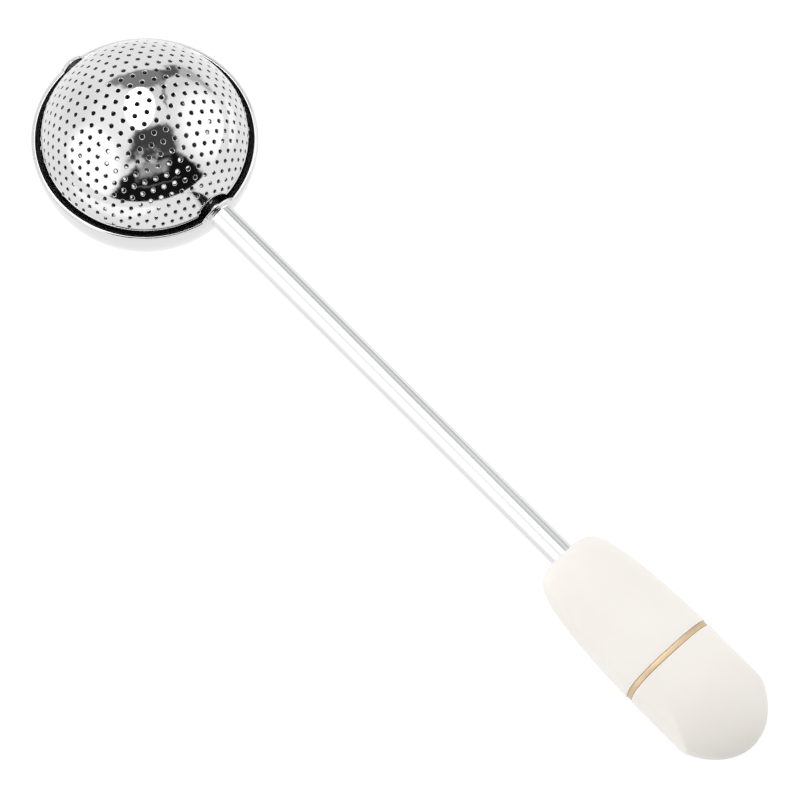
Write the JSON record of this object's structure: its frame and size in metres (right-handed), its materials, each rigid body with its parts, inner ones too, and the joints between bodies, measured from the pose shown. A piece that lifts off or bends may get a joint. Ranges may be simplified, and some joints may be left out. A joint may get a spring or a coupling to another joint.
{
  "type": "tea infuser",
  "caption": "Ball-shaped tea infuser on a straight stem: a perforated dome turns inside a polished cup when the end of the oval handle is twisted.",
  "frame": {"origin": "centre of the ball, where the turning axis crosses the middle of the cup", "axes": "+X along the stem from the ball to the end of the handle, which is also the turning axis; +Z towards the top of the perforated dome when the ball is closed; +Y across the ball"},
  "size_m": [0.1929, 0.045, 0.0405],
  "materials": {
    "polished_steel": "mirror polished stainless sheet",
    "plain_steel": "drawn and turned stainless steel",
    "ivory_plastic": "warm off-white, fine matt grain",
    "gold_ring": "satin pale gold",
    "bearing_plastic": "plain natural acetal",
    "dark_bearing": "dark filled bearing plastic",
    "seal_rubber": "moulded silicone"
  },
  "bodies": {
    "cup_and_grip": {"outer_cup": "polished_steel", "stem_collar": "polished_steel", "stem_tube": "polished_steel", "front_bush": "bearing_plastic", "rear_bush": "bearing_plastic", "grip_shell": "ivory_plastic", "grip_core": "bearing_plastic", "accent_ring": "gold_ring", "pivot_rivet": "polished_steel", "pivot_washer": "dark_bearing"},
    "dome_and_knob": {"inner_dome": "polished_steel", "drive_boss": "plain_steel", "boss_washer": "dark_bearing", "drive_rod": "plain_steel", "friction_ring": "seal_rubber", "thrust_washer": "bearing_plastic", "knob_hub": "plain_steel", "rod_nut": "plain_steel", "stop_pin": "plain_steel", "knob_shell": "ivory_plastic"}
  },
  "joints": [
    {"name": "dome_turn", "type": "hinge", "parent": "cup_and_grip", "child": "dome_and_knob", "pos_m": [0, 0, 0], "axis": [1, 0, 0], "range_deg": [0, 180]}
  ]
}
